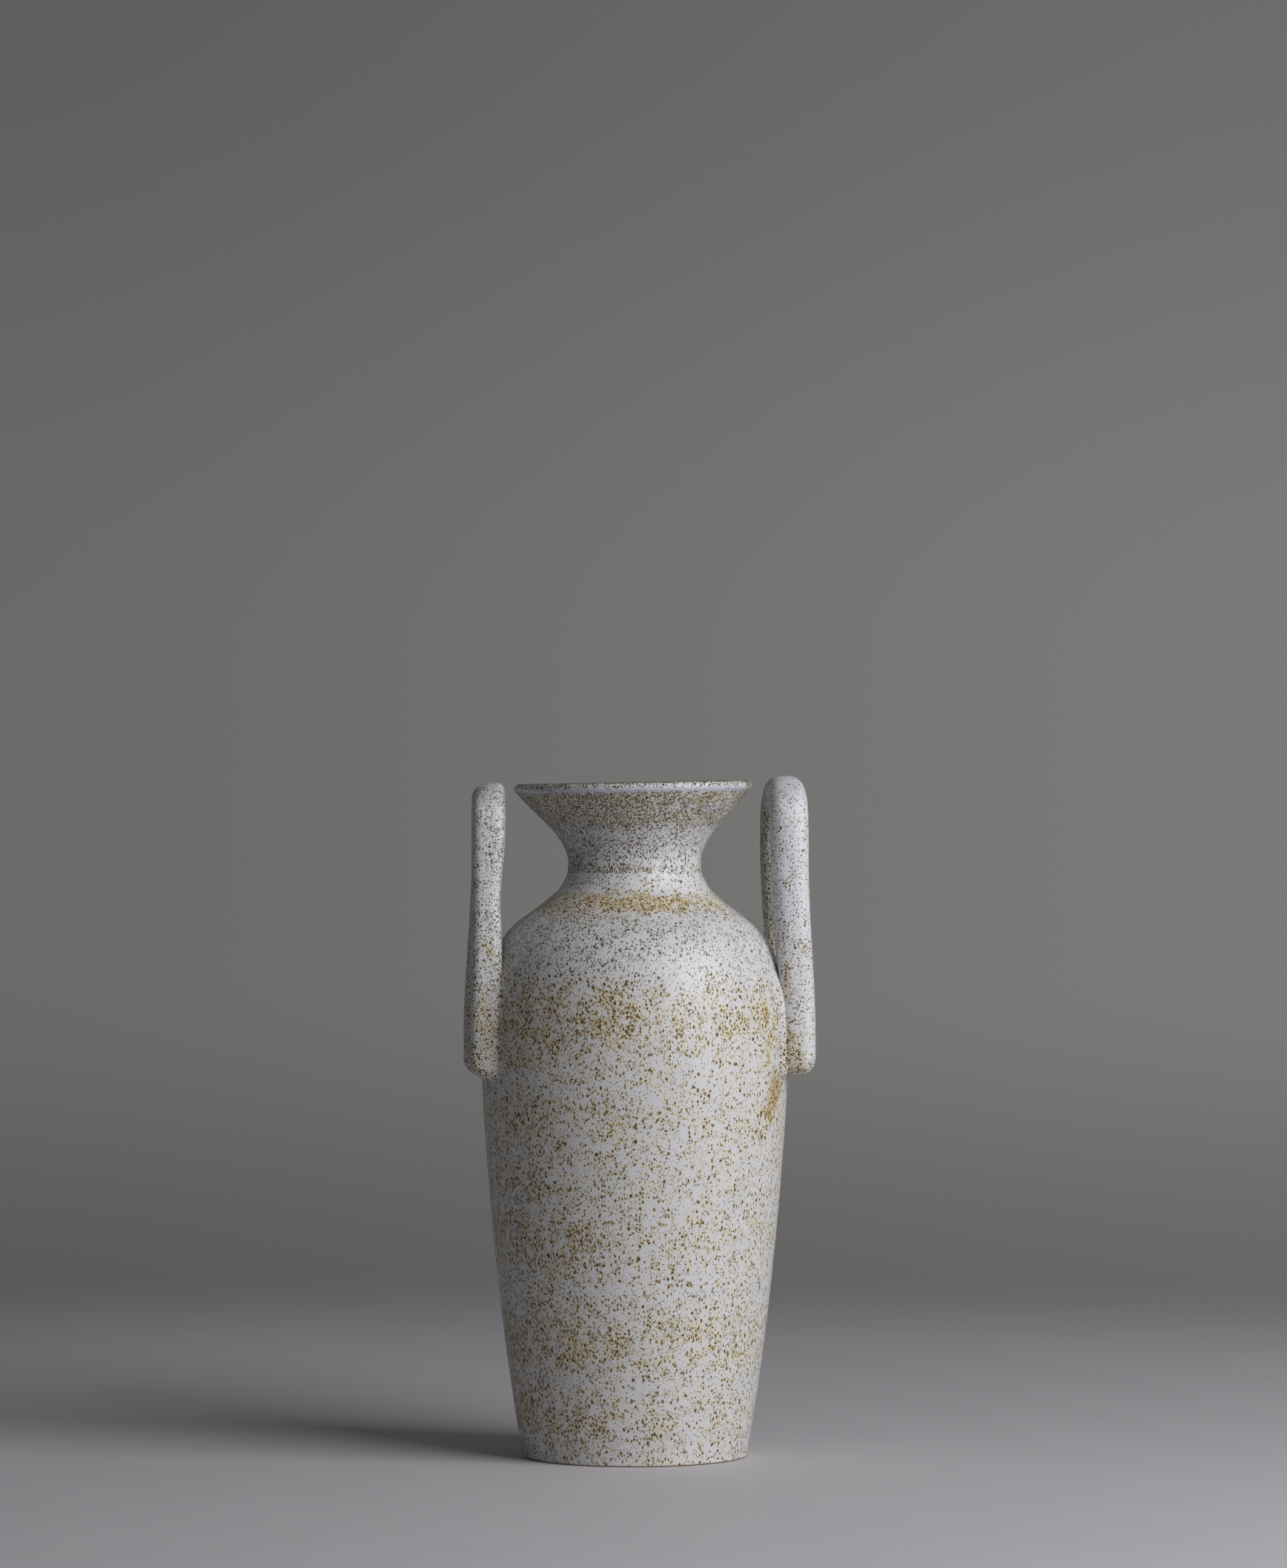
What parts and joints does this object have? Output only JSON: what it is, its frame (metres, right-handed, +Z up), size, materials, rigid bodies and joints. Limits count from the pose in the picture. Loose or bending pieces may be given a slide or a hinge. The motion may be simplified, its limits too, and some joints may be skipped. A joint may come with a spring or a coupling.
{
  "type": "handled vase",
  "caption": "Tall footed stoneware vase with a narrow neck, flared mouth and arched side handles luted to the shoulder; stands on its flat base and holds stems or branches.",
  "frame": {"origin": "centre of the flat round base, where the vase's axis meets the surface it stands on", "axes": "+Z up along the vase's axis; the handles stand on the X axis, +X being the right one seen from -Y, the front"},
  "size_m": [0.1801, 0.1594, 0.3535],
  "materials": {
    "speckled_glaze": "satin",
    "handle_glaze": "satin",
    "slip_joint": "satin"
  },
  "bodies": {
    "root": {"body": "speckled_glaze", "neck": "speckled_glaze", "neck_slip": "slip_joint", "right_handle": "handle_glaze", "right_handle_slip_front": "slip_joint", "right_handle_slip_back": "slip_joint", "left_handle": "handle_glaze", "left_handle_slip_front": "slip_joint", "left_handle_slip_back": "slip_joint"}
  },
  "joints": []
}
